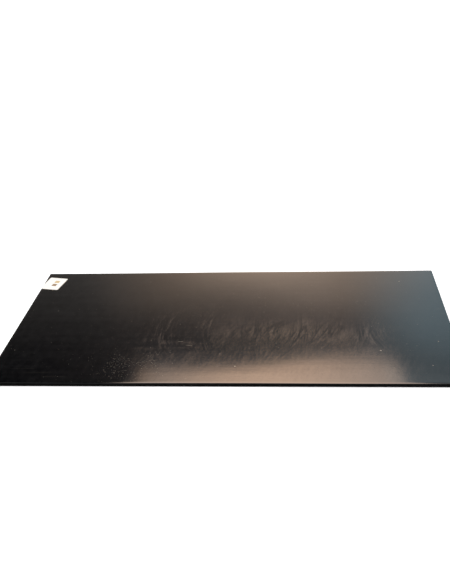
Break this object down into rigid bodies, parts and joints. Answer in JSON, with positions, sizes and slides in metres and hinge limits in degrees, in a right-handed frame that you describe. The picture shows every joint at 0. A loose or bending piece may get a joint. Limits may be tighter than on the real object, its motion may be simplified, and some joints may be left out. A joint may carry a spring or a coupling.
{
  "type": "kick plate",
  "caption": "Flat black plastic door kick plate with eased edges, foam tape strips under peel-off liners on its back, and a paper price label on its face.",
  "frame": {"origin": "centre of the plate's footprint, on the surface that the release liners lie on", "axes": "plate lying face up: +X along its width to the right, +Y towards the edge that is uppermost on the door, +Z out of the face"},
  "size_m": [0.762, 0.4064, 0.007],
  "materials": {
    "black_plastic": "glossy black, lightly scuffed and dusty",
    "label_paper": null,
    "foam_tape": "closed-cell dark grey foam, cut edges",
    "release_liner": "silicone-coated kraft paper, slight sheen"
  },
  "bodies": {
    "root": {"plate": "black_plastic", "price_label": "label_paper", "tape_bottom_edge": "foam_tape", "tape_top_edge": "foam_tape", "tape_left": "foam_tape", "tape_inner_left": "foam_tape", "tape_center": "foam_tape", "tape_inner_right": "foam_tape", "tape_right": "foam_tape", "liner_bottom_edge": "release_liner", "liner_top_edge": "release_liner", "liner_left": "release_liner", "liner_inner_left": "release_liner", "liner_center": "release_liner", "liner_inner_right": "release_liner", "liner_right": "release_liner"}
  },
  "joints": []
}
